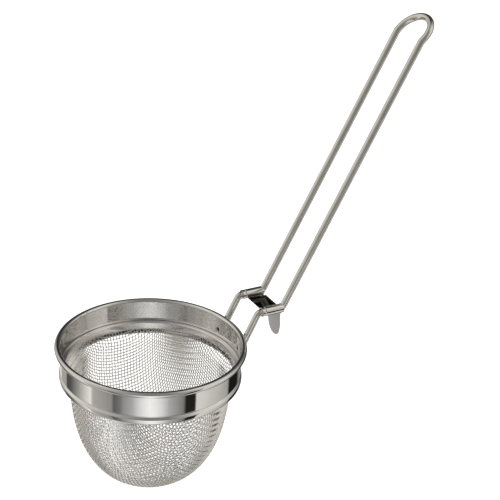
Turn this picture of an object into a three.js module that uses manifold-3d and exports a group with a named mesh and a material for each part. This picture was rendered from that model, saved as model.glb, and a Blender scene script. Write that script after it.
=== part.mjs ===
// Tea strainer with a pot-rim hook: a woven bowl in a sheet band, a hairpin wire handle, and a stamped
// bracket that hangs over the rim of a pot or cup.
//
// Millimetres, +Z up. The geometry is worked out about the bowl's axis, with z = 0 at the centre of the
// rim's bead and the handle leaving along +X. The exported group is then shifted so that the origin is the
// middle of the bracket plate's flat underside, which is the face that rests on the pot's rim.

import * as THREE from 'three';
import { mergeVertices } from 'three/addons/utils/BufferGeometryUtils.js';
import Module from 'manifold-3d';

const wasm = await Module();
wasm.setup();

// ---- Driving dimensions -------------------------------------------------------------------------------

const fitGap = 0.15; // clearance between pieces that touch or are clamped on the real object

// Band
const bandRadius = 37.75; // outside of the plain wall
const sheet = 0.4; // thickness of the band's and the ring's sheet
const beadRadius = 1.3; // outside radius of the curled rim's section
const beadCurl = 290; // degrees of curl from the top of the wall, outwards and back towards it
const grooveTop = 10.5; // depth of the groove's upper edge below the bead's centre
const grooveHeight = 1.4;
const grooveDepth = 0.45;
const collarStep = 0.45; // how far the collar stands out past the wall
const collarHeight = 2.5; // from the groove's lower edge to the band's bottom
const flangeWidth = 2.7; // how far the bottom flange reaches in from the collar's outside

// Wire cloth
const clothThickness = 1.0;
const bowlInset = 1.8; // from the flange's inner edge in to the bowl's side
const bowlDepth = 63; // depth of the bowl's bottom below the bead's centre
const shoulderDrop = 2.6; // from the band's bottom to where the bowl's rounded side begins
const bowlSidePower = 2.1; // fullness of the side
const bowlBasePower = 2.8; // flatness of the bottom

// Inner ring
const ringRise = 1.9; // its top flange above the groove's upper edge
const ringHeight = 3.5;
const ringCorner = 0.45; // centre-line radius between its flange and skirt

// Handle wire
const wireRadius = 1.5;
const legSpacing = 17.15; // centre to centre
const levelHeight = 9.4; // height of the level runs over the bead's centre
const armAngle = 63.4; // rise of the short arms, degrees
const legAngle = 62.3; // rise of the long legs, degrees
const loopAngle = 42; // rise of the loop, degrees
const levelLength = 11.67; // between the sharp corners of a level run
const legLength = 125.5; // between the sharp corners of a leg
const loopNeck = 2; // from the leg's upper corner to the start of the loop's half circle
const weldLength = 3.6; // upright stretch of wire welded to the wall
const weldBend = 3; // bend radii on the wire's centre line
const innerBend = 2.2;
const outerBend = 2.4;
const loopBend = 4;

// Hook bracket
const bracketSheet = 0.35;
const sleeveSetback = 1.45; // from the level run's inner corner to the sleeve
const sleeveOverrun = 0.08; // how far the sleeve runs past the level run's outer corner
const creaseOffset = 1.3; // from the sleeve's inner end to the crease round it
const creaseWidth = 0.3;
const creaseDepth = 0.15;
const plateLift = 0.05; // the plate's underside above the sleeves' lowest line
const plateInset = 2.8; // from the sleeve's inner end to the plate's bowl-side edge
const plateOverhang = 0.62; // how far the plate runs past the sleeves before it bends down
const plateBend = 0.5; // centre-line radius of the bend into the tongue
const shoulderInset = 1.575; // from a wire's centre line in to the side of the bend
const shoulderFoot = 1.2; // height of the full-width strip below the plate
const tongueWidth = 10.3;
const tongueStraight = 9; // where the tongue's sides start to draw in, measured down from the plate
const tongueDrop = 15.4; // height of the whole tongue below the plate
const tongueDraw = 0.65; // how far each side draws in before the round of the tip
const tongueSplay = 3.2; // degrees that it splays out

// Facets
const turnFacets = 48; // round the bowl's axis
const wireFacets = 12;
const sleeveFacets = 24;
const bendSteps = 5;
const loopSteps = 12;

// ---- Values that follow from them ---------------------------------------------------------------------

const radians = THREE.MathUtils.degToRad;

const wallInside = bandRadius - sheet;
const wireSide = legSpacing / 2;
const weldRadius = bandRadius + wireRadius + fitGap;
const weldX = Math.sqrt(weldRadius ** 2 - wireSide ** 2);
const beadCentre = bandRadius - sheet + beadRadius;
const bandDepth = grooveTop + grooveHeight + collarHeight;
const flangeInside = bandRadius + collarStep - flangeWidth;
const ringTop = grooveTop - ringRise;
const bowlRadius = flangeInside - bowlInset;
const shoulderDepth = bandDepth + shoulderDrop;

// The arm passes the bead with the fit clearance, which sets where the level run begins.
const armSlope = Math.tan(radians(armAngle));
const armClear = (beadRadius + wireRadius + fitGap) / Math.sin(radians(armAngle));
const armAtBead = Math.sqrt((beadCentre + armClear) ** 2 - wireSide ** 2);
const innerCornerX = armAtBead + levelHeight / armSlope;
const outerCornerX = innerCornerX + levelLength;

const sleeveInside = wireRadius + fitGap;
const sleeveOutside = sleeveInside + bracketSheet;
const sleeveStart = innerCornerX + sleeveSetback;
const sleeveEnd = outerCornerX + sleeveOverrun;
const sleeveLength = sleeveEnd - sleeveStart;
const plateStart = sleeveStart + plateInset;
const plateUnderside = levelHeight - sleeveOutside + plateLift;
const seatX = (plateStart + sleeveEnd) / 2;
const shoulderWidth = legSpacing - 2 * shoulderInset;
const tongueTip = tongueWidth / 2 - tongueDraw;

// ---- Helpers ------------------------------------------------------------------------------------------

// Points along an arc from one angle to another, in degrees, both ends included.
function arc(centreX, centreY, radius, from, to, steps) {
  return Array.from({ length: steps + 1 }, (unused, i) => {
    const angle = radians(from + ((to - from) * i) / steps);
    return new THREE.Vector2(centreX + radius * Math.cos(angle), centreY + radius * Math.sin(angle));
  });
}

// A path of straight runs joined by round bends. Each corner gives its point and its bend radius.
function roundedPath(corners, stepsPerBend) {
  const points = [corners[0].point.clone()];
  for (let i = 1; i < corners.length - 1; i += 1) {
    const { point, bend } = corners[i];
    const back = corners[i - 1].point.clone().sub(point).normalize();
    const ahead = corners[i + 1].point.clone().sub(point).normalize();
    const half = back.angleTo(ahead) / 2;
    const setback = bend / Math.tan(half);
    const middle = back.clone().add(ahead).normalize();
    const centre = point.clone().addScaledVector(middle, bend / Math.sin(half));
    const start = point.clone().addScaledVector(back, setback).sub(centre);
    const end = point.clone().addScaledVector(ahead, setback).sub(centre);
    const sweep = Math.PI - 2 * half;
    for (let k = 0; k <= stepsPerBend; k += 1) {
      const share = k / stepsPerBend;
      const a = Math.sin((1 - share) * sweep) / Math.sin(sweep);
      const b = Math.sin(share * sweep) / Math.sin(sweep);
      points.push(centre.clone().addScaledVector(start, a).addScaledVector(end, b));
    }
  }
  points.push(corners.at(-1).point.clone());
  return points;
}

// The closed outline of a sheet of the given thickness that follows a centre line.
function sheetOutline(centreLine, thickness) {
  const normals = centreLine.map((point, i) => {
    const before = centreLine[Math.max(i - 1, 0)];
    const after = centreLine[Math.min(i + 1, centreLine.length - 1)];
    const along = after.clone().sub(before).normalize();
    return new THREE.Vector2(-along.y, along.x);
  });
  const side = (sign) => centreLine.map((point, i) => point.clone().addScaledVector(normals[i], sign));
  return [...side(thickness / 2), ...side(-thickness / 2).reverse()];
}

// A ring turned about +Z from a closed outline of (radius, height) points.
function turned(outline) {
  const anticlockwise = THREE.ShapeUtils.isClockWise(outline) ? [...outline].reverse() : outline;
  const geometry = new THREE.LatheGeometry([...anticlockwise, anticlockwise[0].clone()], turnFacets);
  return geometry.rotateX(Math.PI / 2);
}

// A curve that gives exactly the stations it was made from, so that straight runs need only their ends.
class StationPath extends THREE.Curve {
  constructor(stations) {
    super();
    this.stations = stations;
  }

  getPoint(share, target = new THREE.Vector3()) {
    const place = share * (this.stations.length - 1);
    const i = Math.min(Math.floor(place), this.stations.length - 2);
    return target.lerpVectors(this.stations[i], this.stations[i + 1], place - i);
  }

  getPointAt(share, target) {
    return this.getPoint(share, target);
  }

  getTangentAt(share, target = new THREE.Vector3()) {
    const i = Math.round(share * (this.stations.length - 1));
    const before = this.stations[Math.max(i - 1, 0)];
    const after = this.stations[Math.min(i + 1, this.stations.length - 1)];
    const middle = this.stations[i];
    const arriving = i > 0 ? middle.clone().sub(before).normalize() : new THREE.Vector3();
    const leaving = i < this.stations.length - 1 ? after.clone().sub(middle).normalize() : new THREE.Vector3();
    return target.copy(arriving).add(leaving).normalize();
  }
}

// A round rod along a list of stations.
function rod(stations, radius, facets) {
  const section = new THREE.Shape(arc(0, 0, radius, 0, 360 - 360 / facets, facets - 1));
  const path = new StationPath(stations);
  return new THREE.ExtrudeGeometry(section, { steps: stations.length - 1, extrudePath: path });
}

function toSolid(geometry) {
  const bare = geometry.clone();
  bare.deleteAttribute('normal');
  bare.deleteAttribute('uv');
  const merged = mergeVertices(bare);
  const mesh = new wasm.Mesh({
    numProp: 3,
    vertProperties: merged.attributes.position.array,
    triVerts: merged.index.array,
  });
  return new wasm.Manifold(mesh);
}

function toGeometry(solid) {
  const mesh = solid.getMesh();
  const geometry = new THREE.BufferGeometry();
  geometry.setAttribute('position', new THREE.BufferAttribute(mesh.vertProperties, 3));
  geometry.setIndex(new THREE.BufferAttribute(mesh.triVerts, 1));
  geometry.computeVertexNormals();
  return geometry;
}

function steel(name, colour, roughness) {
  return new THREE.MeshStandardMaterial({ name, color: colour, roughness, metalness: 1 });
}

// ---- Rim band -----------------------------------------------------------------------------------------

function rimBand() {
  const wall = bandRadius - sheet / 2;
  const curlRadius = beadRadius - sheet / 2;
  const inside = wall - grooveDepth;
  const collar = wall + collarStep;
  const bottom = -bandDepth + sheet / 2;
  const grooveBottom = grooveTop + grooveHeight;
  const corner = collarStep + sheet / 2;
  const curl = arc(wall + curlRadius, 0, curlRadius, 180 - beadCurl, 180, 9);
  const centreLine = [
    ...curl,
    new THREE.Vector2(wall, -grooveTop),
    new THREE.Vector2(inside, -grooveTop - grooveHeight * 0.35),
    new THREE.Vector2(inside, -grooveTop - grooveHeight * 0.65),
    new THREE.Vector2(collar - sheet / 2, -grooveBottom),
    new THREE.Vector2(collar, -grooveBottom - sheet),
    ...arc(collar - corner, bottom + corner, corner, 0, -90, 3),
    new THREE.Vector2(flangeInside, bottom),
  ];
  return turned(sheetOutline(centreLine, sheet));
}

// ---- Inner ring ---------------------------------------------------------------------------------------

// The skirt stands clear of the cloth that lies between it and the groove's ridge.
const ridgeInside = wallInside - grooveDepth;
const clothOutside = ridgeInside - fitGap;
const skirtOutside = clothOutside - clothThickness - fitGap;

function innerRing() {
  const skirt = skirtOutside - sheet / 2;
  const top = -ringTop - sheet / 2;
  const centreLine = [
    new THREE.Vector2(wallInside - fitGap, top),
    ...arc(skirt + ringCorner, top - ringCorner, ringCorner, 90, 180, 4),
    new THREE.Vector2(skirt, -ringTop - ringHeight),
  ];
  return turned(sheetOutline(centreLine, sheet));
}

// ---- Bowl of wire cloth -------------------------------------------------------------------------------

// Outside radius and height of the bowl at a share of the way round its section, from side to bottom.
function bowlPoint(share, radius, depth) {
  const angle = (share * Math.PI) / 2;
  const across = Math.cos(angle) ** (2 / bowlBasePower);
  const down = Math.sin(angle) ** (2 / bowlSidePower);
  return new THREE.Vector2(radius * across, -shoulderDepth - (depth - shoulderDepth) * down);
}

function meshBowl() {
  const steps = 10;
  const edgeTop = -ringTop - sheet - fitGap;
  const skirtFoot = -ringTop - ringHeight - fitGap;
  const side = (radius, depth, inset) => [
    new THREE.Vector2(clothOutside - inset, edgeTop),
    new THREE.Vector2(clothOutside - inset, skirtFoot),
    new THREE.Vector2(flangeInside - fitGap - inset, -bandDepth + sheet + fitGap),
    ...Array.from({ length: steps }, (unused, i) => bowlPoint(i / steps, radius, depth)),
    new THREE.Vector2(0, -depth),
  ];
  const outer = side(bowlRadius, bowlDepth, 0);
  const inner = side(bowlRadius - clothThickness, bowlDepth - clothThickness, clothThickness);
  const outline = [...outer.reverse(), ...inner];
  const geometry = new THREE.LatheGeometry(outline, turnFacets);
  return geometry.rotateX(Math.PI / 2);
}

// ---- Handle wire --------------------------------------------------------------------------------------

// The direction outwards along the handle that rises at an angle in degrees.
function rising(angle) {
  return new THREE.Vector3(Math.cos(radians(angle)), 0, Math.sin(radians(angle)));
}

function handleWire() {
  const at = (x, z) => new THREE.Vector3(x, -wireSide, z);
  const weldTop = levelHeight - (innerCornerX - weldX) * armSlope;
  const outerCorner = at(outerCornerX, levelHeight);
  const legTop = outerCorner.clone().addScaledVector(rising(legAngle), legLength);
  const loopStart = legTop.clone().addScaledVector(rising(loopAngle), loopNeck);
  const half = roundedPath(
    [
      { point: at(weldX, weldTop - weldLength) },
      { point: at(weldX, weldTop), bend: weldBend },
      { point: at(innerCornerX, levelHeight), bend: innerBend },
      { point: outerCorner, bend: outerBend },
      { point: legTop, bend: loopBend },
      { point: loopStart },
    ],
    bendSteps,
  );
  const loopCentre = loopStart.clone().setY(0);
  const outward = rising(loopAngle);
  const loop = Array.from({ length: loopSteps - 1 }, (unused, i) => {
    const turn = (Math.PI * (i + 1)) / loopSteps;
    const point = loopCentre.clone().addScaledVector(outward, wireSide * Math.sin(turn));
    return point.setY(-wireSide * Math.cos(turn));
  });
  const otherHalf = half.map((point) => point.clone().setY(wireSide)).reverse();
  return rod([...half, ...loop, ...otherHalf], wireRadius, wireFacets);
}

// ---- Hook bracket -------------------------------------------------------------------------------------

// A rolled sleeve before it is bored: a cylinder along X with a shallow crease near its bowl-side end.
function sleeve(side) {
  const crease = creaseOffset + creaseWidth / 2;
  const outline = [
    new THREE.Vector2(0, 0),
    new THREE.Vector2(sleeveOutside, 0),
    new THREE.Vector2(sleeveOutside, creaseOffset),
    new THREE.Vector2(sleeveOutside - creaseDepth, crease),
    new THREE.Vector2(sleeveOutside, creaseOffset + creaseWidth),
    new THREE.Vector2(sleeveOutside, sleeveLength),
    new THREE.Vector2(0, sleeveLength),
  ];
  const geometry = new THREE.LatheGeometry(outline, sleeveFacets).rotateZ(-Math.PI / 2);
  return toSolid(geometry.translate(sleeveStart, side * wireSide, levelHeight));
}

// The room that a level run and the foot of its leg need, with the fit clearance all round.
function wirePassage(side) {
  const at = (x) => new THREE.Vector3(x, side * wireSide, levelHeight);
  const outerCorner = at(outerCornerX);
  const upLeg = outerCorner.clone().addScaledVector(rising(legAngle), 4 * sleeveOutside);
  const corners = [
    { point: at(sleeveStart - sleeveOutside) },
    { point: outerCorner, bend: outerBend },
    { point: upLeg },
  ];
  return toSolid(rod(roundedPath(corners, bendSteps), sleeveInside, wireFacets));
}

// The bent strip's centre line from the side: the plate, the bend, and the tongue that splays out a little.
function stripLine() {
  const middle = plateUnderside + bracketSheet / 2;
  const bend = arc(sleeveEnd + plateOverhang, middle - plateBend, plateBend, 90, tongueSplay, 7);
  const below = tongueDrop + bracketSheet - (plateUnderside - bend.at(-1).y);
  const down = new THREE.Vector2(Math.sin(radians(tongueSplay)), -Math.cos(radians(tongueSplay)));
  const end = bend.at(-1).clone().addScaledVector(down, below / Math.cos(radians(tongueSplay)));
  return [new THREE.Vector2(plateStart, middle), ...bend, end];
}

// The plate's and the tongue's outlines, one seen from above and one from the end. The plate's sides stop
// inside the walls of the sleeves.
function stripBlank(tip) {
  const plateHalf = wireSide - (sleeveInside + sleeveOutside) / 6;
  const plateLength = sleeveEnd - plateStart;
  const plate = new THREE.BoxGeometry(2 * plateLength, 2 * plateHalf, 2 * plateBend);
  plate.translate(plateStart, 0, plateUnderside);
  const top = plateUnderside + plateBend;
  const foot = plateUnderside - shoulderFoot;
  const shoulder = foot - (shoulderWidth - tongueWidth) / 2;
  const straightEnd = plateUnderside - tongueStraight;
  const tipCentre = plateUnderside - tongueDrop + tongueTip;
  const rise = straightEnd - tipCentre;
  const reach = Math.hypot(tongueWidth / 2, rise);
  const tangent = Math.atan2(rise, tongueWidth / 2) - Math.acos(tongueTip / reach);
  const tangentDegrees = THREE.MathUtils.radToDeg(tangent);
  const outline = new THREE.Shape([
    new THREE.Vector2(-shoulderWidth / 2, top),
    new THREE.Vector2(-shoulderWidth / 2, foot),
    new THREE.Vector2(-tongueWidth / 2, shoulder),
    new THREE.Vector2(-tongueWidth / 2, straightEnd),
    ...arc(0, tipCentre, tongueTip, 180 - tangentDegrees, 360 + tangentDegrees, 12),
    new THREE.Vector2(tongueWidth / 2, straightEnd),
    new THREE.Vector2(tongueWidth / 2, shoulder),
    new THREE.Vector2(shoulderWidth / 2, foot),
    new THREE.Vector2(shoulderWidth / 2, top),
  ]);
  const start = sleeveEnd - bracketSheet;
  const tongue = new THREE.ExtrudeGeometry(outline, { depth: tip - start, bevelEnabled: false });
  // Turn the outline's X to +Y and its Y to +Z, with the thickness along +X.
  const turn = new THREE.Matrix4().makeBasis(
    new THREE.Vector3(0, 1, 0),
    new THREE.Vector3(0, 0, 1),
    new THREE.Vector3(1, 0, 0),
  );
  return toSolid(plate).add(toSolid(tongue.applyMatrix4(turn).translate(start, 0, 0)));
}

function hookBracket() {
  const line = stripLine();
  const outline = new THREE.Shape(sheetOutline(line, bracketSheet));
  const sheetStrip = new THREE.ExtrudeGeometry(outline, { depth: legSpacing, bevelEnabled: false });
  sheetStrip.rotateX(Math.PI / 2).translate(0, legSpacing / 2, 0);
  let bracket = toSolid(sheetStrip).intersect(stripBlank(line.at(-1).x + tongueTip));
  for (const side of [-1, 1]) {
    bracket = bracket.add(sleeve(side)).subtract(wirePassage(side));
  }
  return toGeometry(bracket);
}

// ---- Assembly -----------------------------------------------------------------------------------------

const polished = steel('polished_band', 0xc9c7c2, 0.12);
const ringSteel = steel('ring', 0xc4c1ba, 0.18);
const clothSteel = steel('cloth', 0xb9b3aa, 0.35);
const wireSteel = steel('wire', 0xb7b4ad, 0.25);
const bracketSteel = steel('bracket', 0xbab7b1, 0.2);

const strainer = new THREE.Group();

function addPiece(name, geometry, material) {
  const mesh = new THREE.Mesh(geometry, material);
  mesh.name = name;
  strainer.add(mesh);
}

addPiece('rim_band', rimBand(), polished);
addPiece('inner_ring', innerRing(), ringSteel);
addPiece('mesh_bowl', meshBowl(), clothSteel);
addPiece('handle_wire', handleWire(), wireSteel);
addPiece('hook_bracket', hookBracket(), bracketSteel);

strainer.position.set(-seatX, 0, -plateUnderside);

export default strainer;
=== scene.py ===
import math

import bmesh
import bpy
import numpy as np
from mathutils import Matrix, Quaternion, Vector

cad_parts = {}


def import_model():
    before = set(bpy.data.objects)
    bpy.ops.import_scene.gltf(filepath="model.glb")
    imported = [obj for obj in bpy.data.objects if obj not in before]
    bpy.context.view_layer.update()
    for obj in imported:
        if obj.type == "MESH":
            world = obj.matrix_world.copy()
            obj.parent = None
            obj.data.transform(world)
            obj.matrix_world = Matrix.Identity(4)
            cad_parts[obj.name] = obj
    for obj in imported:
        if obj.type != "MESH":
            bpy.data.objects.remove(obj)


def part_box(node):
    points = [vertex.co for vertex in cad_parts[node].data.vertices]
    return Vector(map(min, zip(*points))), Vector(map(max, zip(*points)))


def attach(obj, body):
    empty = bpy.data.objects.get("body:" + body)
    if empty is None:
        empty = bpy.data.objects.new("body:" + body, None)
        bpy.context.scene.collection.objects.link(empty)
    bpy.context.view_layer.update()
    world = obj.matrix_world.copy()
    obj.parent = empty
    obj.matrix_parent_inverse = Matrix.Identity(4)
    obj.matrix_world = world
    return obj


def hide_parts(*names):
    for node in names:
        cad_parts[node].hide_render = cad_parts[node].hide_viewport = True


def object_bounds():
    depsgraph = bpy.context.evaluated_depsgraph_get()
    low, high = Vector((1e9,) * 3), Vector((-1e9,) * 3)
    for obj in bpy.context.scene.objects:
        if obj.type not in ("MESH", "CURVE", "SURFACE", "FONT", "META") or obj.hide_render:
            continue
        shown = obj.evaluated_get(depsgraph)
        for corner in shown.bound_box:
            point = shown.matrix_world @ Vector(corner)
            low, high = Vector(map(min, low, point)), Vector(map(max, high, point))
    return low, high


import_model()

CAD_BOX = [list(corner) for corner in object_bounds()]

MM = 0.001

# ---- Sizes of the pieces, as in the CAD ----------------------------------------------------------------

SHEET = 0.4 * MM  # band and ring
FIT_GAP = 0.15 * MM
BEAD_RADIUS = 1.3 * MM
BEAD_CURL = 290  # degrees
GROOVE_TOP = 10.5 * MM
GROOVE_HEIGHT = 1.4 * MM
GROOVE_DEPTH = 0.45 * MM
COLLAR_STEP = 0.45 * MM
BAND_DEPTH = 14.4 * MM
WALL_RADIUS = 37.75 * MM
FLANGE_WIDTH = 2.7 * MM

CLOTH_THICKNESS = 1.0 * MM
BOWL_RADIUS = 33.7 * MM
SHOULDER_DEPTH = 17 * MM
SIDE_POWER = 2.1
BASE_POWER = 2.8

WIRE_RADIUS = 1.5 * MM
LEVEL_LENGTH = 11.67 * MM
LEG_LENGTH = 125.5 * MM
LOOP_NECK = 2 * MM
WELD_LENGTH = 3.6 * MM
ARM_ANGLE = 63.4
LEG_ANGLE = 62.3
LOOP_ANGLE = 42
SLEEVE_LENGTH = 10.3 * MM
SLEEVE_WALL = 0.35 * MM
PLATE_INSET = 2.8 * MM
PLATE_OVERHANG = 0.62 * MM
PLATE_BEND = 0.5 * MM
CREASE_OFFSET = 1.3 * MM
CREASE_WIDTH = 0.3 * MM
CREASE_DEPTH = 0.15 * MM
SEAM_ANGLE = 225  # degrees round a sleeve, from outwards, where its rolled edge ends
SHOULDER_INSET = 1.575 * MM
SHOULDER_FOOT = 1.2 * MM
TONGUE_HALF = 5.15 * MM
TONGUE_STRAIGHT = 9 * MM
TONGUE_DROP = 15.4 * MM
TONGUE_TIP = 4.5 * MM
TONGUE_SPLAY = 3.2
RING_CORNER = 0.45 * MM

# ---- Places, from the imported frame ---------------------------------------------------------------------

RIM_LOW, RIM_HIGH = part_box("rim_band")
BOWL_LOW, BOWL_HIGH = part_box("mesh_bowl")
RING_LOW, RING_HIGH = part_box("inner_ring")
BRACKET_LOW, BRACKET_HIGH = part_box("hook_bracket")
WHOLE_LOW = Vector(CAD_BOX[0])

AXIS = Vector(((RIM_LOW.x + RIM_HIGH.x) / 2, 0, 0))
BEAD_Z = RIM_LOW.z + BAND_DEPTH
BOWL_DEPTH = BEAD_Z - BOWL_LOW.z
CLOTH_OUTSIDE = BOWL_HIGH.x - AXIS.x
RING_TOP = BEAD_Z - RING_HIGH.z
RING_FOOT = BEAD_Z - RING_LOW.z
SLEEVE_OUTSIDE = WIRE_RADIUS + FIT_GAP + SLEEVE_WALL
WIRE_SIDE = BRACKET_HIGH.y - SLEEVE_OUTSIDE
LEVEL_Z = BRACKET_HIGH.z - SLEEVE_OUTSIDE
SLEEVE_START = BRACKET_LOW.x

# ---- Studio --------------------------------------------------------------------------------------------

CAMERA_AZIMUTH = -26.2  # degrees about the rim's centre, from the side away from +Y
CAMERA_ELEVATION = 30.215
CAMERA_DISTANCE = 583.94 * MM
CAMERA_AIM = Vector((-8.74, 0, 27.85)) * MM
CAMERA_ROLL = 3.21
CAMERA_LENS = 100.8  # millimetres, on a 36 mm sensor

# What the steel mirrors. Degrees run round from the camera's side, towards the right of its picture.
# Both lists were typed after readings of how bright the steel is in the reference photograph.
# The cards on the table, below the horizon: where each starts and ends, and its light at both places.
TABLE_CARDS = [
    (-180, -155, 0.3, 0.75),  # behind, on the left
    (-150, -133, 0.35, 0.35),  # a grey card
    (-129, -118, 0.06, 0.1),  # a dark gap
    (-103, -80, 0.3, 0.82),  # a white card on the left, brighter towards the front
    (-77, -49, 0.42, 0.27),  # a grey card
    (-46, -37, 0.1, 0.18),  # a narrow dark gap
    (-34, -22, 0.27, 0.4),  # the grey edge of the sheet in front
    (-12, 0, 0.7, 0.93),  # the white sheet in front, brightest in the middle
    (6, 15, 0.88, 0.69),
    (25, 43, 0.4, 0.2),  # its other edge
    (46, 59, 0.015, 0.015),  # a black gap
    (61, 115, 0.7, 0.36),  # a long card on the right, fading towards the back
    (119, 143, 0.01, 0.01),  # a black gap
    (152, 180, 0.2, 0.3),  # behind, on the right
]
# The room above it: a broad soft light on each side, dim over the camera and dark behind the object.
ROOM_CARDS = [
    (-180, -165, 0.01, 0.06),  # dark behind
    (-145, -112, 0.4, 0.68),  # the soft light on the left
    (-90, -35, 0.62, 0.3),
    (-5, 25, 0.2, 0.2),  # over the camera
    (50, 68, 0.38, 0.66),  # the soft light on the right
    (95, 115, 0.66, 0.42),
    (138, 180, 0.1, 0.01),  # dark behind
]
WARM = (1, 0.975, 0.925)
WARM_FROM = 42  # degrees either side of the camera, outside which the light is slightly warm
# How far the table gives way to the room, and the room to the ceiling, by the sine of the elevation.
HORIZON = [(-0.12, 1), (0.0, 0)]
CEILING_STARTS = [(0.9, 0), (0.98, 1)]
CEILING_LIGHT = 0.22
MIRROR_LIGHT = 1.2
KEY_PLACE = (-0.5, -0.5, 0.9)  # metres
KEY_SIZE = 0.5  # metres
KEY_POWER = 4  # watts
FLOOR_SIDE = 4  # metres, from the middle to each side
FLOOR_COLOUR = (0.9, 0.9, 0.9)
FLOOR_ROUGHNESS = 0.9
FLOOR_GLOW = 0.85

# ---- Detail --------------------------------------------------------------------------------------------

TURN_STEPS = 240
CURL_STEPS = 28
CORNER_STEPS = 6
WRAP_STEPS = 36
WIRE_SIDES = 24
BEND_STEPS = 12
LOOP_STEPS = 48
PLATE_STEPS = 20
PLATE_COLUMNS = 21
SIDE_STEPS = 17  # down the tongue's sides
TIP_STEPS = 20  # and over its tip

CLOTH_PITCH = 1.45 * MM
CLOTH_WIRE = 0.4 * MM
CLOTH_SIDES = 6
CLOTH_STEPS = 2  # stations from one crossing to the next
SHORTEST_RUN = 3  # crossings in the shortest wire that is made
SETTLE_ROUNDS = 60
SETTLE_SHARE = 0.8
BOWL_STEPS = 400  # round the bowl's outline
BOWL_STATIONS = 2000  # places up the surface that are worked out

WALL_ROWS = 34
GROOVE_BEND = 0.35 * MM  # radii of the band's bends, from the top down
GROOVE_FLOOR_BEND = 0.3 * MM
COLLAR_BEND = 0.5 * MM
FLANGE_BEND = 0.7 * MM
COLLAR_SLOPE = 0.3 * MM  # how far below the groove the collar reaches its full width
WELD_TURN = math.radians(13.65)
WELD_DROP = 5.3 * MM
WELD_RADIUS = 0.85 * MM
WELD_DEPTH = 0.45 * MM
WELD_LIP = 0.08 * MM  # height of the raised lip round the dent
LIP_REACH = 1.3  # its place, in weld radii
LIP_SHARPNESS = 3
WELD_SPAN = 2.5  # degrees each side of a weld
WELD_STEPS = 10
SAME_TURN = 1e-4  # radians, closer than which two angles are one
WELD_FLATTEN = 0.8
NEAR_BAND = 1.2  # times the wall's radius, within which the wire is at the band
PRESSED_SHARE = 0.6  # of the weld's length, over which the wire's end goes flat
EDGE_BULGE = 0.22  # how far a sheet's cut edge bulges, as a share of its thickness
EDGE_FLAT = 0.3  # where that edge's corners are, from its middle
WIRE_STATIONS = 3 * MM  # the furthest apart that two rings of the handle wire are
END_ROUND = 0.3 * MM
BRACKET_ROUND = 0.06 * MM
TOUCHING = 0.005 * MM
HAIR = 0.01 * MM

SHARP_ANGLE = 50

# The finish of the steel.
SMUDGE_SCALE = 140  # smudges to a metre, and the same for the sheet's gentle waves
WAVE_SCALE = 70
NOISE_LOW, NOISE_HIGH = 0.3, 0.7  # where nearly all of a noise's values lie
WORN_LOW, WORN_HIGH = 0.12, 0.4  # the same for two noises multiplied
SCORCH_RADIUS = 1.5 * MM
SCORCH_CORE = 0.3  # share of that radius that is fully brown
SCORCH = (0.09, 0.065, 0.04)
PLATE_FADE = 0.5 * MM  # how far the plate's painted shade takes to fade
# painted shade: the near-black colour given to the plate between the sleeves
PLATE_PAINTED_SHADE = (0.05, 0.048, 0.045)
TONGUE_COLOUR = (0.97, 0.97, 0.98)
TONGUE_ROUGHNESS = 0.85


# ---- Mesh helpers --------------------------------------------------------------------------------------

def polar(radius, degrees):
    turn = math.radians(degrees)
    return Vector((radius * math.cos(turn), radius * math.sin(turn)))


def arc(centre, radius, start, end, steps):
    """Points along an arc in a plane, both ends included."""
    return [
        Vector(centre) + polar(radius, start + (end - start) * k / steps)
        for k in range(steps + 1)
    ]


def rounded(corners, steps):
    """A path through corners given as (point, bend radius), with each corner turned into a round bend."""
    path = [corners[0][0].copy()]
    for (before, _), (point, bend), (after, _) in zip(corners, corners[1:], corners[2:]):
        back = (before - point).normalized()
        ahead = (after - point).normalized()
        half = back.angle(ahead) / 2
        centre = point + (back + ahead).normalized() * (bend / math.sin(half))
        start = point + back * (bend / math.tan(half)) - centre
        end = point + ahead * (bend / math.tan(half)) - centre
        sweep = math.pi - 2 * half
        for k in range(steps + 1):
            share = k / steps
            a = math.sin((1 - share) * sweep) / math.sin(sweep)
            b = math.sin(share * sweep) / math.sin(sweep)
            path.append(centre + start * a + end * b)
    path.append(corners[-1][0].copy())
    return path


def sheet_outline(line, thickness):
    """The closed outline of a sheet that follows a centre line in a plane, with rounded cut edges."""
    sides = ([], [])
    for i, point in enumerate(line):
        before = line[max(i - 1, 0)]
        after = line[min(i + 1, len(line) - 1)]
        along = (after - before).normalized()
        normal = Vector((-along.y, along.x)) * (thickness / 2)
        sides[0].append(point + normal)
        sides[1].append(point - normal)
    far_edge = cut_edge(line[-1], line[-1] - line[-2], thickness)
    near_edge = cut_edge(line[0], line[0] - line[1], thickness)
    return sides[0] + far_edge + sides[1][::-1] + near_edge


def cut_edge(end, outward, thickness):
    """Two points that take the sharpness off a sheet's cut edge."""
    along = outward.normalized()
    normal = Vector((-along.y, along.x)) * (EDGE_FLAT * thickness)
    bulge = along * (EDGE_BULGE * thickness)
    return [end + bulge + normal, end + bulge - normal]


def anticlockwise(outline):
    """The same closed outline, running anticlockwise."""
    area = sum(a.x * b.y - b.x * a.y for a, b in zip(outline, outline[1:] + outline[:1]))
    return outline if area > 0 else outline[::-1]


def piece(name, points, faces, along, material, nodes=()):
    """A smooth-shaded piece. along gives each point's distance round or along the piece, and across it."""
    mesh = bpy.data.meshes.new(name)
    mesh.from_pydata(np.asarray(points).tolist(), [], np.asarray(faces).tolist())
    lay = mesh.uv_layers.new(name="lay")
    corners = np.empty(len(mesh.loops), np.int32)
    mesh.loops.foreach_get("vertex_index", corners)
    lay.data.foreach_set("uv", np.asarray(along, np.float32)[corners].ravel())
    mesh.shade_smooth()
    mesh.set_sharp_from_angle(angle=math.radians(SHARP_ANGLE))
    mesh.materials.append(material)
    made = bpy.data.objects.new(name, mesh)
    bpy.context.scene.collection.objects.link(made)
    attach(made, "root")
    if nodes:
        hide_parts(*nodes)
    return made


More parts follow.
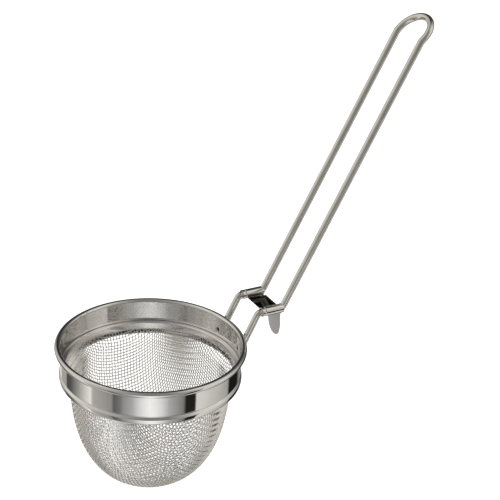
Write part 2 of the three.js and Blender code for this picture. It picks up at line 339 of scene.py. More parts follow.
def lathe(outline, angles):
    """Points, faces and lay of a closed outline of (radius, height) turned about the bowl's axis."""
    outline = np.array(anticlockwise(outline))
    turns = np.array(angles)
    radius, height = outline[:, 0], outline[:, 1]
    points = np.stack(
        [
            AXIS.x + np.outer(np.cos(turns), radius),
            np.outer(np.sin(turns), radius),
            np.broadcast_to(BEAD_Z + height, (len(turns), len(radius))),
        ],
        axis=-1,
    )
    steps = np.linalg.norm(np.diff(outline, axis=0, append=outline[:1]), axis=1)
    across = np.concatenate([[0], np.cumsum(steps)[:-1]])
    along = np.stack(np.meshgrid(turns * WALL_RADIUS, across, indexing="ij"), axis=-1)
    return points.reshape(-1, 3), ring_faces(len(turns), len(radius), True), along.reshape(-1, 2)


def ring_faces(rings, sides, closed):
    """Quads that join rings of points, each ring closed on itself."""
    last = rings if closed else rings - 1
    ring, side = np.meshgrid(np.arange(last), np.arange(sides), indexing="ij")
    after = (ring + 1) % rings
    beside = (side + 1) % sides
    corners = [ring * sides + side, after * sides + side, after * sides + beside, ring * sides + beside]
    return np.stack(corners, axis=-1).reshape(-1, 4)


def tube(path, radius, sides, hint):
    """Points, faces and lay of a round rod along a path. hint is roughly square to the path all the way."""
    path = np.asarray(path, float)
    hint = np.broadcast_to(np.asarray(hint, float), path.shape)
    along = unit(np.gradient(path, axis=0))
    beside = unit(np.cross(along, hint))
    over = np.cross(beside, along)
    turn = 2 * np.pi * np.arange(sides) / sides
    spread = np.cos(turn)[None, :, None] * over[:, None] + np.sin(turn)[None, :, None] * beside[:, None]
    points = path[:, None] + radius * spread
    length = np.concatenate([[0], np.cumsum(np.linalg.norm(np.diff(path, axis=0), axis=1))])
    lay = np.stack(np.meshgrid(length, turn * radius, indexing="ij"), axis=-1)
    faces = ring_faces(len(path), sides, False)[:, ::-1]
    return points.reshape(-1, 3), faces, lay.reshape(-1, 2)


def unit(vectors):
    return vectors / np.linalg.norm(vectors, axis=-1, keepdims=True)


# ---- Materials -----------------------------------------------------------------------------------------

def node(tree, kind, inputs=None, **settings):
    """A shader node with its settings and its inputs, each a value or another node's output."""
    made = tree.nodes.new(kind)
    for name, value in settings.items():
        setattr(made, name, value)
    for name, value in (inputs or {}).items():
        if isinstance(value, bpy.types.NodeSocket):
            tree.links.new(value, made.inputs[name])
        else:
            made.inputs[name].default_value = value
    return made


def spread(tree, value, low, high):
    """A noise value carried to the range from low to high."""
    inputs = {"Value": value, "From Min": NOISE_LOW, "From Max": NOISE_HIGH, "To Min": low, "To Max": high}
    return node(tree, "ShaderNodeMapRange", inputs).outputs["Result"]


def steel(name, light, dark, roughness, grain, grain_depth, wave_depth):
    """Stainless steel. grain is how many lines to a metre run along and across the lay of the metal."""
    material = bpy.data.materials.new(name)
    material.use_nodes = True
    tree = material.node_tree
    shader = tree.nodes["Principled BSDF"]
    shader.inputs["Metallic"].default_value = 1
    place = node(tree, "ShaderNodeTexCoord").outputs["Object"]
    lay = node(tree, "ShaderNodeUVMap", uv_map="lay").outputs["UV"]
    fine = node(tree, "ShaderNodeMapping", {"Vector": lay, "Scale": (*grain, 1)}).outputs["Vector"]
    lines = node(tree, "ShaderNodeTexNoise", {"Vector": fine, "Scale": 1, "Detail": 3}).outputs["Fac"]
    smudged = {"Vector": place, "Scale": SMUDGE_SCALE, "Detail": 4}
    smudge = node(tree, "ShaderNodeTexNoise", smudged).outputs["Fac"]
    waved = {"Vector": place, "Scale": WAVE_SCALE, "Detail": 1}
    wave = node(tree, "ShaderNodeTexNoise", waved).outputs["Fac"]
    tone = spread(tree, smudge, 0, 1)
    colour = node(tree, "ShaderNodeMix", {"Factor": tone}, data_type="RGBA")
    colour.inputs["A"].default_value = (*dark, 1)
    colour.inputs["B"].default_value = (*light, 1)
    tree.links.new(colour.outputs["Result"], shader.inputs["Base Color"])
    worn = node(tree, "ShaderNodeMath", {0: smudge, 1: lines}, operation="MULTIPLY").outputs["Value"]
    wear = {"Value": worn, "From Min": WORN_LOW, "From Max": WORN_HIGH}
    wear.update({"To Min": roughness[0], "To Max": roughness[1]})
    tree.links.new(node(tree, "ShaderNodeMapRange", wear).outputs["Result"], shader.inputs["Roughness"])
    swell = node(tree, "ShaderNodeBump", {"Height": wave, "Strength": 1, "Distance": wave_depth})
    brushed = {"Height": lines, "Strength": 1, "Distance": grain_depth, "Normal": swell.outputs["Normal"]}
    relief = node(tree, "ShaderNodeBump", brushed)
    tree.links.new(relief.outputs["Normal"], shader.inputs["Normal"])
    return material


# ---- Rim band and inner ring ---------------------------------------------------------------------------

def band_line():
    """The band's centre line as (radius, height): curled bead, wall, groove, collar and bottom flange."""
    wall = WALL_RADIUS - SHEET / 2
    curl = BEAD_RADIUS - SHEET / 2
    collar = wall + COLLAR_STEP
    bottom = SHEET / 2 - BAND_DEPTH
    ridge = -GROOVE_TOP - GROOVE_HEIGHT / 2
    bead = arc((wall + curl, 0), curl, 180 - BEAD_CURL, 180, CURL_STEPS)
    rows = [Vector((wall, -GROOVE_TOP * k / WALL_ROWS)) for k in range(1, WALL_ROWS)]
    rest = rounded(
        [
            (rows[-1], 0),
            (Vector((wall, -GROOVE_TOP)), GROOVE_BEND),
            (Vector((wall - GROOVE_DEPTH, ridge)), GROOVE_FLOOR_BEND),
            (Vector((collar, -GROOVE_TOP - GROOVE_HEIGHT - COLLAR_SLOPE)), COLLAR_BEND),
            (Vector((collar, bottom)), FLANGE_BEND),
            (Vector((WALL_RADIUS + COLLAR_STEP - FLANGE_WIDTH, bottom)), 0),
        ],
        CORNER_STEPS,
    )
    return bead + rows[:-1] + rest


def dent(points):
    """Presses the two spot-weld marks into the band's wall, where the wire's ends are behind it."""
    x, y, z = (points - np.array([AXIS.x, 0, BEAD_Z])).T
    radius = np.hypot(x, y)
    for side in (-1, 1):
        round_wall = WALL_RADIUS * (np.arctan2(y, x) - side * WELD_TURN)
        reach = np.hypot(round_wall, z + WELD_DROP) / WELD_RADIUS
        lip = np.exp(-((LIP_SHARPNESS * (reach - LIP_REACH)) ** 2))
        push = WELD_DEPTH * np.exp(-(reach**4)) - WELD_LIP * lip
        near = np.abs(radius - WALL_RADIUS) < 2 * SHEET
        points[near, 0] += (push * x / radius)[near]
        points[near, 1] += (push * y / radius)[near]
    return points


def turn_angles():
    """Angles round the band, closer together about the spot welds."""
    even = [2 * math.pi * k / TURN_STEPS for k in range(TURN_STEPS)]
    fine = [
        side * WELD_TURN + math.radians(WELD_SPAN) * k / WELD_STEPS
        for side in (-1, 1)
        for k in range(-WELD_STEPS, WELD_STEPS + 1)
    ]
    turns = sorted(angle % (2 * math.pi) for angle in even + fine)
    return [b for a, b in zip([-1, *turns], turns) if b - a > SAME_TURN]


def rim_band():
    points, faces, lay = lathe(sheet_outline(band_line(), SHEET), turn_angles())
    piece("band", dent(points), faces, lay, polished_steel(), ["rim_band"])


def inner_ring():
    wall = WALL_RADIUS - SHEET
    skirt = CLOTH_OUTSIDE - CLOTH_THICKNESS - FIT_GAP - SHEET / 2
    top = -RING_TOP - SHEET / 2
    line = rounded(
        [
            (Vector((wall - FIT_GAP, top)), 0),
            (Vector((skirt, top)), RING_CORNER),
            (Vector((skirt, -RING_FOOT)), 0),
        ],
        CORNER_STEPS,
    )
    even = [2 * math.pi * k / TURN_STEPS for k in range(TURN_STEPS)]
    points, faces, lay = lathe(sheet_outline(line, SHEET), even)
    piece("ring", points, faces, lay, ring_steel(), ["inner_ring"])


# ---- Bowl of woven wire --------------------------------------------------------------------------------

class Bowl:
    """The surface midway through the wire cloth, turned about the bowl's axis.

    A place on it is given by its distance from the bottom, measured up the surface.
    """

    def __init__(self):
        inset = CLOTH_THICKNESS / 2
        flange = WALL_RADIUS + COLLAR_STEP - FLANGE_WIDTH
        around = np.linspace(np.pi / 2, 0, BOWL_STEPS)
        radius = (BOWL_RADIUS - inset) * np.cos(around) ** (2 / BASE_POWER)
        radius[0] = 0
        below = (BOWL_DEPTH - inset - SHOULDER_DEPTH) * np.sin(around) ** (2 / SIDE_POWER)
        upper = CLOTH_OUTSIDE - inset
        radius = np.append(radius, [flange - FIT_GAP - inset, upper, upper])
        drop = np.append(SHOULDER_DEPTH + below, [BAND_DEPTH - SHEET, RING_FOOT, -BAND_DEPTH])
        length = np.concatenate([[0], np.cumsum(np.hypot(np.diff(radius), np.diff(drop)))])
        self.length = np.linspace(0, length[-1], BOWL_STATIONS)
        self.radius = np.interp(self.length, length, radius)
        self.height = BEAD_Z - np.interp(self.length, length, drop)
        self.middle = BEAD_Z - SHOULDER_DEPTH * 1.5
        self.edge = np.interp(-(RING_TOP + SHEET + FIT_GAP), -drop, length)
        self.angle = np.arctan2(self.radius, self.middle - self.height)
        slope = np.stack([np.gradient(self.height), -np.gradient(self.radius)], axis=-1)
        self.out = unit(slope)

    def distance(self, points):
        """How far up the surface the nearest place to each point is."""
        across = np.hypot(points[..., 0], points[..., 1])
        return np.interp(np.arctan2(across, self.middle - points[..., 2]), self.angle, self.length)

    def onto(self, points):
        """The points, moved onto the surface."""
        distance = self.distance(points)
        flat = np.hypot(points[..., 0], points[..., 1])
        scale = np.interp(distance, self.length, self.radius) / np.maximum(flat, 1e-9)
        height = np.interp(distance, self.length, self.height)
        return np.stack([points[..., 0] * scale, points[..., 1] * scale, height], axis=-1)

    def outward(self, points):
        """The direction square to the surface at each point."""
        distance = self.distance(points)
        flat = np.maximum(np.hypot(points[..., 0], points[..., 1]), 1e-9)
        sideways = np.interp(distance, self.length, self.out[:, 0])
        upward = np.interp(distance, self.length, self.out[:, 1])
        scale = sideways / flat
        return np.stack([points[..., 0] * scale, points[..., 1] * scale, upward], axis=-1)


def settle(bowl, points, anchors):
    """Slides points over the bowl until each is one pitch from both of its anchors."""
    for _ in range(SETTLE_ROUNDS):
        for anchor in anchors:
            gap = points - anchor
            length = np.linalg.norm(gap, axis=-1, keepdims=True)
            points = points - SETTLE_SHARE * (1 - CLOTH_PITCH / length) * gap
        points = bowl.onto(points)
    return points


def drape(bowl):
    """Draws a square wire cloth down over the bowl and gives its crossings, and which of them exist.

    The wires keep their length and only the cells shear, as in pressed cloth. The two wires that cross at
    the bottom run straight up the sides, and every other crossing in a quarter follows from the two before.
    """
    count = math.ceil(bowl.edge / CLOTH_PITCH) + 1
    quarter = np.full((count, count, 3), np.nan)
    distance = np.arange(count) * CLOTH_PITCH
    radius = np.interp(distance, bowl.length, bowl.radius)
    height = np.interp(distance, bowl.length, bowl.height)
    quarter[:, 0] = np.stack([radius, 0 * radius, height], axis=-1)
    quarter[0, :] = np.stack([0 * radius, radius, height], axis=-1)
    for total in range(2, 2 * count - 1):
        column = np.arange(max(1, total - count + 1), min(count, total))
        row = total - column
        anchors = [quarter[column - 1, row], quarter[column, row - 1]]
        start = anchors[0] + anchors[1] - quarter[column - 1, row - 1]
        points = settle(bowl, bowl.onto(start), anchors)
        points[~(bowl.distance(points) < bowl.edge)] = np.nan
        quarter[column, row] = points
    half = np.concatenate([quarter[:0:-1] * (-1, 1, 1), quarter])
    whole = np.concatenate([half[:, :0:-1] * (1, -1, 1), half], axis=1)
    return whole, np.isfinite(whole[..., 0])


def woven_wire(bowl, crossings, over):
    """One crimped wire through its crossings: over is 1 or -1 at the first, and changes at each."""
    count = (len(crossings) - 1) * CLOTH_STEPS + 1
    place = np.arange(count) / CLOTH_STEPS
    path = np.stack([np.interp(place, np.arange(len(crossings)), c) for c in crossings.T], axis=-1)
    path = bowl.onto(path)
    outward = bowl.outward(path)
    path = path + outward * (over * CLOTH_WIRE / 2 * np.cos(np.pi * place))[:, None]
    return tube(path, CLOTH_WIRE / 2, CLOTH_SIDES, outward)


def runs(exists):
    """The unbroken stretches of a line of crossings, without the very short ones."""
    edges = np.flatnonzero(np.diff(np.concatenate([[0], exists.astype(int), [0]])))
    return [(a, b) for a, b in zip(edges[::2], edges[1::2]) if b - a >= SHORTEST_RUN]


def mesh_bowl():
    bowl = Bowl()
    crossings, exists = drape(bowl)
    material = cloth_steel()
    # The warp runs along X and the weft along Y, and each passes over where the other passes under.
    lays = {
        "mesh_warp": (crossings.swapaxes(0, 1), exists.T, 1),
        "mesh_weft": (crossings, exists, -1),
    }
    for name, (lines, there, first) in lays.items():
        points, faces, along, total = [], [], [], 0
        for k, (line, shown) in enumerate(zip(lines, there)):
            for a, b in runs(shown):
                over = first if (k + a) % 2 == 0 else -first
                new_points, new_faces, new_along = woven_wire(bowl, line[a:b], over)
                points.append(new_points)
                faces.append(new_faces + total)
                along.append(new_along)
                total += len(new_points)
        placed = np.concatenate(points) + np.array(AXIS)
        replaced = ["mesh_bowl"] if name == "mesh_warp" else []
        piece(name, placed, np.concatenate(faces), np.concatenate(along), material, replaced)


# ---- Handle wire ---------------------------------------------------------------------------------------

def rising(degrees):
    """The direction outwards along the handle that rises at an angle."""
    turn = math.radians(degrees)
    return Vector((math.cos(turn), 0, math.sin(turn)))


def handle_path():
    """The wire's centre line, from one welded end round the loop to the other."""
    bead_radius = WALL_RADIUS - SHEET + BEAD_RADIUS
    slope = math.tan(math.radians(ARM_ANGLE))
    clear = (BEAD_RADIUS + WIRE_RADIUS + FIT_GAP) / math.sin(math.radians(ARM_ANGLE))
    weld_radius = WALL_RADIUS + WIRE_RADIUS + FIT_GAP
    weld_x = AXIS.x + math.sqrt(weld_radius**2 - WIRE_SIDE**2)
    rise = LEVEL_Z - BEAD_Z
    inner_x = AXIS.x + math.sqrt((bead_radius + clear) ** 2 - WIRE_SIDE**2) + rise / slope
    weld_top = LEVEL_Z - (inner_x - weld_x) * slope
    outer = Vector((inner_x + LEVEL_LENGTH, -WIRE_SIDE, LEVEL_Z))
    leg_top = outer + rising(LEG_ANGLE) * LEG_LENGTH
    loop_start = leg_top + rising(LOOP_ANGLE) * LOOP_NECK
    half = rounded(
        [
            (Vector((weld_x, -WIRE_SIDE, weld_top - WELD_LENGTH)), 0),
            (Vector((weld_x, -WIRE_SIDE, weld_top)), 3 * MM),
            (Vector((inner_x, -WIRE_SIDE, LEVEL_Z)), 2.2 * MM),
            (outer, 2.4 * MM),
            (leg_top, 4 * MM),
            (loop_start, 0),
        ],
        BEND_STEPS,
    )
    loop = []
    for k in range(1, LOOP_STEPS):
        turn = math.pi * k / LOOP_STEPS
        sideways = Vector((0, WIRE_SIDE - WIRE_SIDE * math.cos(turn), 0))
        loop.append(loop_start + sideways + rising(LOOP_ANGLE) * (WIRE_SIDE * math.sin(turn)))
    other = [Vector((p.x, -p.y, p.z)) for p in reversed(half)]
    return half + loop + other


def filled(path, longest):
    """The path with extra points wherever two are further apart than longest."""
    points = [path[0]]
    for a, b in zip(path, path[1:]):
        parts = math.ceil((b - a).length / longest)
        points += [a.lerp(b, (k + 1) / parts) for k in range(parts)]
    return points


def handle_wire():
    path = filled(handle_path(), WIRE_STATIONS)
    points, faces, lay = tube(path, WIRE_RADIUS, WIRE_SIDES, square_hints(path))
    x, y, z = (points - np.array(AXIS)).T
    radius = np.hypot(x, y)
    # The ends are pressed flat onto the band where they are welded.
    low = path[0].z
    by_band = radius < NEAR_BAND * WALL_RADIUS
    pressed = np.clip((low + WELD_LENGTH - z) / (WELD_LENGTH * PRESSED_SHARE), 0, 1) * by_band
    flat = WALL_RADIUS + (radius - WALL_RADIUS - FIT_GAP) * WELD_FLATTEN
    scale = 1 + pressed * (flat / radius - 1)
    points[:, 0] = AXIS.x + x * scale
    points[:, 1] = y * scale
    made = piece("wire", points, faces, lay, wire_steel(), ["handle_wire"])
    close_ends(made)


def square_hints(path):
    """A direction for each point of the path that turns with it and stays square to it."""
    along = [(b - a).normalized() for a, b in zip(path, path[1:])]
    along.append(along[-1])
    hint = Vector((1, 0, 0))
    hints = []
    for direction in along:
        hint = (hint - direction * hint.dot(direction)).normalized()
        hints.append(hint.copy())
    return hints


def close_ends(made):
    """Closes the open ends of a tube with slightly rounded caps."""
    shape = bmesh.new()
    shape.from_mesh(made.data)
    ends = [edge for edge in shape.edges if edge.is_boundary]
    caps = bmesh.ops.holes_fill(shape, edges=ends)["faces"]
    for cap in caps:
        cap.smooth = False
    rims = [edge for cap in caps for edge in cap.edges]
    bmesh.ops.bevel(shape, geom=rims, offset=END_ROUND, segments=3, affect="EDGES", profile=0.5)
    bmesh.ops.recalc_face_normals(shape, faces=shape.faces)
    shape.to_mesh(made.data)
    shape.free()


# ---- Hook bracket --------------------------------------------------------------------------------------

def tongue_half(drop):
    """Half the strip's width at a drop below the plate's underside."""
    shoulder = WIRE_SIDE - SHOULDER_INSET
    full = TONGUE_HALF
    if drop < TONGUE_STRAIGHT:
        return min(shoulder, max(full, shoulder - (drop - SHOULDER_FOOT)))
    centre = TONGUE_DROP - TONGUE_TIP
    rise = centre - TONGUE_STRAIGHT
    reach = math.hypot(full, rise)
    lean = math.acos(TONGUE_TIP / reach) - math.atan2(rise, full)
    touch = centre + TONGUE_TIP * math.sin(lean)
    touch_half = TONGUE_TIP * math.cos(lean)
    if drop < touch:
        share = (drop - TONGUE_STRAIGHT) / (touch - TONGUE_STRAIGHT)
        return full + share * (touch_half - full)
    return math.sqrt(max(TONGUE_TIP**2 - (drop - centre) ** 2, 0))


def tongue_line(start, middle):
    """The tongue's centre line in the XZ plane, from where it leaves the plate down to its tip."""
    underside = middle - SLEEVE_WALL / 2
    bend = arc((start + PLATE_OVERHANG, middle - PLATE_BEND), PLATE_BEND, 90, TONGUE_SPLAY, 10)
    splay = math.radians(TONGUE_SPLAY)
    down = Vector((math.sin(splay), -math.cos(splay)))
    bend_drop = underside - bend[-1].y
    drops = [
        *np.linspace(bend_drop, SHOULDER_FOOT, 3)[1:],
        *np.linspace(SHOULDER_FOOT, TONGUE_STRAIGHT, SIDE_STEPS + 1)[1:],
    ]
    for k in range(1, TIP_STEPS + 1):
        share = math.sin(math.pi / 2 * k / TIP_STEPS)
        drops.append(TONGUE_STRAIGHT + (TONGUE_DROP - TONGUE_STRAIGHT) * share)
    return bend + [bend[-1] + down * ((drop - bend_drop) / math.cos(splay)) for drop in drops]


def bracket_section():
    """The rolled sheet's middle line across the handle, from one seam to the other.

    Each point is (side, across, height). side is -1 or 1 round a sleeve, with across and height from its
    centre, and 0 on the plate between them.
    """
    wrap = [polar(1, float(angle)) for angle in np.linspace(SEAM_ANGLE, -90, WRAP_STEPS)]
    edge = WIRE_SIDE - SHOULDER_INSET
    beside = WIRE_SIDE - SHOULDER_INSET / 2
    flat = [-beside, *np.linspace(-edge, edge, PLATE_COLUMNS), beside]
    left = [(-1, -p.x, p.y) for p in wrap]
    right = [(1, p.x, p.y) for p in reversed(wrap)]
    return left + [(0, across, -1) for across in flat] + right


def crease(reach):
    """How much a sleeve's radius is pinched in at a distance from its end."""
    offset = min(1, abs(reach - CREASE_OFFSET - CREASE_WIDTH / 2) / CREASE_WIDTH)
    return CREASE_DEPTH * (1 + math.cos(math.pi * offset)) / 2


def bracket_rows(shape, section, reaches):
    """The bracket's points, a row for each place along the sleeves and then each place down the tongue."""
    radius = WIRE_RADIUS + FIT_GAP + SLEEVE_WALL / 2
    edge = WIRE_SIDE - SHOULDER_INSET
    rows = []
    for reach in reaches:
        around = radius - crease(reach)
        row = []
        for side, across, height in section:
            y = side * WIRE_SIDE + across * around if side else across
            row.append(shape.verts.new((SLEEVE_START + reach, y, LEVEL_Z + height * around)))
        rows.append(row)
    underside = LEVEL_Z - radius - SLEEVE_WALL / 2
    for point in tongue_line(SLEEVE_START + SLEEVE_LENGTH, LEVEL_Z - radius)[1:]:
        half = max(tongue_half(underside - point.y), 2 * HAIR)
        row = []
        for side, across, _ in section:
            kept = side == 0 and abs(across) < edge + HAIR
            place = (point.x, across / edge * half, point.y)
            row.append(shape.verts.new(place) if kept else None)
        rows.append(row)
    return rows


def bracket_sheet():
    """The bracket's sheet without its thickness: two sleeves, the plate that joins them and the tongue."""
    section = bracket_section()
    pinch = [CREASE_OFFSET + CREASE_WIDTH * k / 6 for k in range(-4, 11)]
    reaches = [0, CREASE_OFFSET / 3, *pinch, *np.linspace(PLATE_INSET, SLEEVE_LENGTH, PLATE_STEPS)]
    shape = bmesh.new()
    lay = shape.loops.layers.uv.new("lay")
    rows = bracket_rows(shape, section, reaches)
    flat = [side == 0 for side, _, _ in section]
    for i, (row, after) in enumerate(zip(rows, rows[1:])):
        on_plate = i >= len(reaches) or reaches[i] > PLATE_INSET - HAIR
        for j in range(len(section) - 1):
            corners = [row[j], after[j], after[j + 1], row[j + 1]]
            wanted = on_plate or not (flat[j] or flat[j + 1])
            if wanted and all(corners):
                for loop in shape.faces.new(corners).loops:
                    loop[lay].uv = (loop.vert.co.x, loop.vert.co.y)
    bmesh.ops.remove_doubles(shape, verts=shape.verts, dist=TOUCHING)
    bmesh.ops.delete(shape, geom=[v for v in shape.verts if not v.link_faces], context="VERTS")
    return shape


def hook_bracket():
    shape = bracket_sheet()
    mesh = bpy.data.meshes.new("bracket")
    shape.to_mesh(mesh)
    shape.free()
    mesh.shade_smooth()
    mesh.materials.append(bracket_steel())
    made = bpy.data.objects.new("bracket", mesh)
    bpy.context.scene.collection.objects.link(made)
    thick = made.modifiers.new("thickness", "SOLIDIFY")
    thick.thickness = SLEEVE_WALL
    thick.offset = 0
    soften = made.modifiers.new("edges", "BEVEL")
    soften.width = BRACKET_ROUND
    soften.segments = 2
    soften.angle_limit = math.radians(40)
    soften.harden_normals = True
    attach(made, "root")
    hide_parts("hook_bracket")


# ---- Finishes ------------------------------------------------------------------------------------------

def polished_steel():
    light, dark = (0.81, 0.80, 0.785), (0.75, 0.74, 0.72)
    material = steel("polished_steel", light, dark, (0.03, 0.08), (60, 9000), 0.001 * MM, 0.03 * MM)
    scorch(material)
    return material


def scorch(material):
    """Browns the steel round the two spot welds, where the heat has coloured it."""
    tree = material.node_tree
    shader = tree.nodes["Principled BSDF"]
    place = node(tree, "ShaderNodeTexCoord").outputs["Object"]
    colour = shader.inputs["Base Color"].links[0].from_socket
    for side in (-1, 1):
        across, sideways = WALL_RADIUS * math.cos(WELD_TURN), WALL_RADIUS * math.sin(WELD_TURN)
        middle = AXIS + Vector((across, side * sideways, BEAD_Z - WELD_DROP))
        gap = node(tree, "ShaderNodeVectorMath", {0: place, 1: middle}, operation="DISTANCE")
        burnt = fade(tree, gap.outputs["Value"], SCORCH_CORE * SCORCH_RADIUS, SCORCH_RADIUS)
        stained = node(tree, "ShaderNodeMix", {"Factor": burnt}, data_type="RGBA")
        tree.links.new(colour, stained.inputs["A"])
        stained.inputs["B"].default_value = (*SCORCH, 1)
        colour = stained.outputs["Result"]
    tree.links.new(colour, shader.inputs["Base Color"])


def ring_steel():
    light, dark = (0.9, 0.885, 0.86), (0.82, 0.80, 0.77)
    return steel("ring_steel", light, dark, (0.08, 0.16), (60, 9000), 0.002 * MM, 0.04 * MM)


def cloth_steel():
    light, dark = (0.98, 0.965, 0.94), (0.92, 0.9, 0.87)
    return steel("cloth_steel", light, dark, (0.12, 0.26), (300, 9000), 0.004 * MM, 0.01 * MM)


def wire_steel():
    light, dark = (0.81, 0.785, 0.735), (0.71, 0.68, 0.625)
    return steel("wire_steel", light, dark, (0.06, 0.14), (80, 4000), 0.002 * MM, 0.03 * MM)


def bracket_steel():
    light, dark = (0.82, 0.805, 0.78), (0.76, 0.74, 0.71)
    material = steel("bracket_steel", light, dark, (0.06, 0.12), (400, 5000), 0.001 * MM, 0.008 * MM)
    paint_plate_shade(material)
    return material


def paint_plate_shade(material):
    """Paints shade on the plate between the sleeves, up to the bend, as a near-black colour, and leaves the
    tongue below it matt.
    """
    tree = material.node_tree
    shader = tree.nodes["Principled BSDF"]
    colour = shader.inputs["Base Color"].links[0].from_socket
    place = node(tree, "ShaderNodeTexCoord").outputs["Object"]
    parts = node(tree, "ShaderNodeSeparateXYZ", {"Vector": place}).outputs
    across = node(tree, "ShaderNodeMath", {0: parts["Y"]}, operation="ABSOLUTE").outputs["Value"]
    side = WIRE_SIDE - SLEEVE_OUTSIDE
    bend = SLEEVE_START + SLEEVE_LENGTH
    plate_top = LEVEL_Z - SLEEVE_OUTSIDE + SLEEVE_WALL
    tongue_top = plate_top - 2 * SLEEVE_WALL
    shares = [
        fade(tree, across, side, side + PLATE_FADE),
        fade(tree, parts["X"], bend - PLATE_FADE, bend + PLATE_FADE),
        fade(tree, parts["Z"], plate_top + PLATE_FADE, plate_top + 2 * PLATE_FADE),
    ]
    two = node(tree, "ShaderNodeMath", {0: shares[0], 1: shares[1]}, operation="MULTIPLY").outputs["Value"]
    shade_mask = node(tree, "ShaderNodeMath", {0: two, 1: shares[2]}, operation="MULTIPLY").outputs["Value"]
    # Painted shade: the plate between the sleeves, up to the bend, is coloured near black.
    painted_shade = node(tree, "ShaderNodeMix", {"Factor": shade_mask}, data_type="RGBA")
    tree.links.new(colour, painted_shade.inputs["A"])
    painted_shade.inputs["B"].default_value = (*PLATE_PAINTED_SHADE, 1)
    below = fade(tree, parts["Z"], tongue_top - PLATE_FADE, tongue_top)
    pale = node(tree, "ShaderNodeMix", {"Factor": below}, data_type="RGBA")
    tree.links.new(painted_shade.outputs["Result"], pale.inputs["A"])
    pale.inputs["B"].default_value = (*TONGUE_COLOUR, 1)
    tree.links.new(pale.outputs["Result"], shader.inputs["Base Color"])
    shine = shader.inputs["Roughness"].links[0].from_socket
    matt = node(tree, "ShaderNodeMix", {"Factor": below})
    tree.links.new(shine, matt.inputs["A"])
    matt.inputs["B"].default_value = TONGUE_ROUGHNESS
    tree.links.new(matt.outputs["Result"], shader.inputs["Roughness"])


def fade(tree, value, full, none):
    """1 below full, falling smoothly to 0 at none."""
    inputs = {"Value": value, "From Min": full, "From Max": none, "To Min": 1, "To Max": 0}
    return node(tree, "ShaderNodeMapRange", inputs, interpolation_type="SMOOTHSTEP").outputs["Result"]


# ---- Studio --------------------------------------------------------------------------------------------

def ramp(tree, value, stops):
    """A colour ramp of (position, colour) stops."""
    made = node(tree, "ShaderNodeValToRGB", {"Fac": value})
    elements = made.color_ramp.elements
    for position, _ in stops[2:]:
        elements.new(position)
    for element, (position, colour) in zip(elements, stops):
        element.position = position
        element.color = (*colour, 1)
    return made.outputs["Color"]


def round_about(tree, around, cards):
    """The light from a ring of cards, as a ramp once round."""
    ends = [end for start, stop, first, last in cards for end in ((start, first), (stop, last))]
    stops = []
    for degrees, level in ends:
        tint = WARM if abs(degrees) > WARM_FROM else (1, 1, 1)
        stops.append((0.5 + degrees / 360, tuple(level * share for share in tint)))
    return ramp(tree, around, stops)


def by_height(tree, rise, shares):
    """A share that changes with the sine of the elevation, as a ramp."""
    return ramp(tree, rise, [(0.5 + height / 2, (share, share, share)) for height, share in shares])


def world():
    """A studio all round for the steel to mirror: a table with cards, the room above it, and a dim ceiling.

    Directions are measured from the camera's side of the object. What the camera sees itself is white.
    """
    made = bpy.data.worlds.new("studio")
    bpy.context.scene.world = made
    made.use_nodes = True
    tree = made.node_tree
    tree.nodes.clear()
    sight = node(tree, "ShaderNodeTexCoord").outputs["Generated"]
    facing = math.atan2(-math.cos(math.radians(CAMERA_AZIMUTH)), math.sin(math.radians(CAMERA_AZIMUTH)))
    turn = {"Vector": sight, "Angle": -facing}
    turned = node(tree, "ShaderNodeVectorRotate", turn, rotation_type="Z_AXIS").outputs["Vector"]
    parts = node(tree, "ShaderNodeSeparateXYZ", {"Vector": turned}).outputs
    angle = node(tree, "ShaderNodeMath", {0: parts["Y"], 1: parts["X"]}, operation="ARCTAN2")
    share = {"Value": angle.outputs["Value"], "From Min": -math.pi, "From Max": math.pi}
    around = node(tree, "ShaderNodeMapRange", share).outputs["Result"]
    rise = node(tree, "ShaderNodeMapRange", {"Value": parts["Z"], "From Min": -1}).outputs["Result"]
    table = round_about(tree, around, TABLE_CARDS)
    room = round_about(tree, around, ROOM_CARDS)
    ceiling = by_height(tree, rise, CEILING_STARTS)
    over = node(tree, "ShaderNodeMix", {"Factor": ceiling}, data_type="RGBA")
    tree.links.new(room, over.inputs["A"])
    over.inputs["B"].default_value = (CEILING_LIGHT, CEILING_LIGHT, CEILING_LIGHT, 1)
    both = node(tree, "ShaderNodeMix", {"Factor": by_height(tree, rise, HORIZON)}, data_type="RGBA")
    tree.links.new(over.outputs["Result"], both.inputs["A"])
    tree.links.new(table, both.inputs["B"])
    studio = {"Color": both.outputs["Result"], "Strength": MIRROR_LIGHT}
    mirrored = node(tree, "ShaderNodeBackground", studio)
    plain = node(tree, "ShaderNodeBackground", {"Color": (1, 1, 1, 1), "Strength": 1})
    camera_ray = node(tree, "ShaderNodeLightPath").outputs["Is Camera Ray"]
    pick = node(tree, "ShaderNodeMixShader", {"Fac": camera_ray})
    tree.links.new(mirrored.outputs["Background"], pick.inputs[1])
    tree.links.new(plain.outputs["Background"], pick.inputs[2])
    node(tree, "ShaderNodeOutputWorld", {"Surface": pick.outputs["Shader"]})


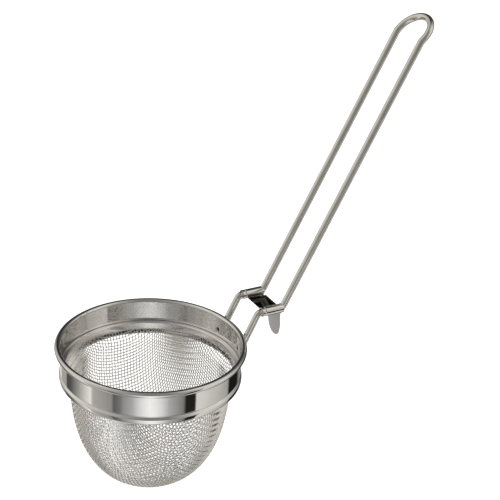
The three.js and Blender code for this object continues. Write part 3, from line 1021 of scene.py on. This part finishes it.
def floor():
    """A plain pale floor under the bowl. The steel mirrors the studio, not the floor."""
    mesh = bpy.data.meshes.new("floor")
    corners = [(-1, -1), (1, -1), (1, 1), (-1, 1)]
    points = [(x * FLOOR_SIDE, y * FLOOR_SIDE, WHOLE_LOW.z) for x, y in corners]
    mesh.from_pydata(points, [], [(0, 1, 2, 3)])
    material = bpy.data.materials.new("floor")
    material.use_nodes = True
    shader = material.node_tree.nodes["Principled BSDF"]
    shader.inputs["Base Color"].default_value = (*FLOOR_COLOUR, 1)
    shader.inputs["Roughness"].default_value = FLOOR_ROUGHNESS
    shader.inputs["Emission Color"].default_value = (1, 1, 1, 1)
    shader.inputs["Emission Strength"].default_value = FLOOR_GLOW
    mesh.materials.append(material)
    made = bpy.data.objects.new("floor", mesh)
    bpy.context.scene.collection.objects.link(made)
    made.visible_glossy = False


def light(name, place, size, power):
    """A round soft lamp that points at the bowl. The steel mirrors the studio, not the lamp."""
    lamp = bpy.data.lights.new(name, "AREA")
    lamp.shape = "DISK"
    lamp.size = size
    lamp.energy = power
    made = bpy.data.objects.new(name, lamp)
    made.location = place
    made.rotation_mode = "QUATERNION"
    made.rotation_quaternion = (Vector(place) - AXIS).to_track_quat("Z", "Y")
    made.visible_glossy = False
    bpy.context.scene.collection.objects.link(made)


def camera():
    azimuth, elevation = math.radians(CAMERA_AZIMUTH), math.radians(CAMERA_ELEVATION)
    back = Vector((math.sin(azimuth), -math.cos(azimuth), math.tan(elevation))).normalized()
    lens = bpy.data.cameras.new("camera")
    lens.lens = CAMERA_LENS
    lens.sensor_width = 36
    made = bpy.data.objects.new("camera", lens)
    made.location = AXIS + Vector((0, 0, BEAD_Z)) + back * CAMERA_DISTANCE
    level = (made.location - CAMERA_AIM).to_track_quat("Z", "Y")
    made.rotation_mode = "QUATERNION"
    made.rotation_quaternion = level @ Quaternion((0, 0, 1), math.radians(CAMERA_ROLL))
    bpy.context.scene.collection.objects.link(made)
    bpy.context.scene.camera = made


# ---- Scene ---------------------------------------------------------------------------------------------

camera()
world()
floor()
light("key", KEY_PLACE, KEY_SIZE, KEY_POWER)
bpy.context.scene.view_settings.view_transform = "Standard"

rim_band()
inner_ring()
mesh_bowl()
handle_wire()
hook_bracket()
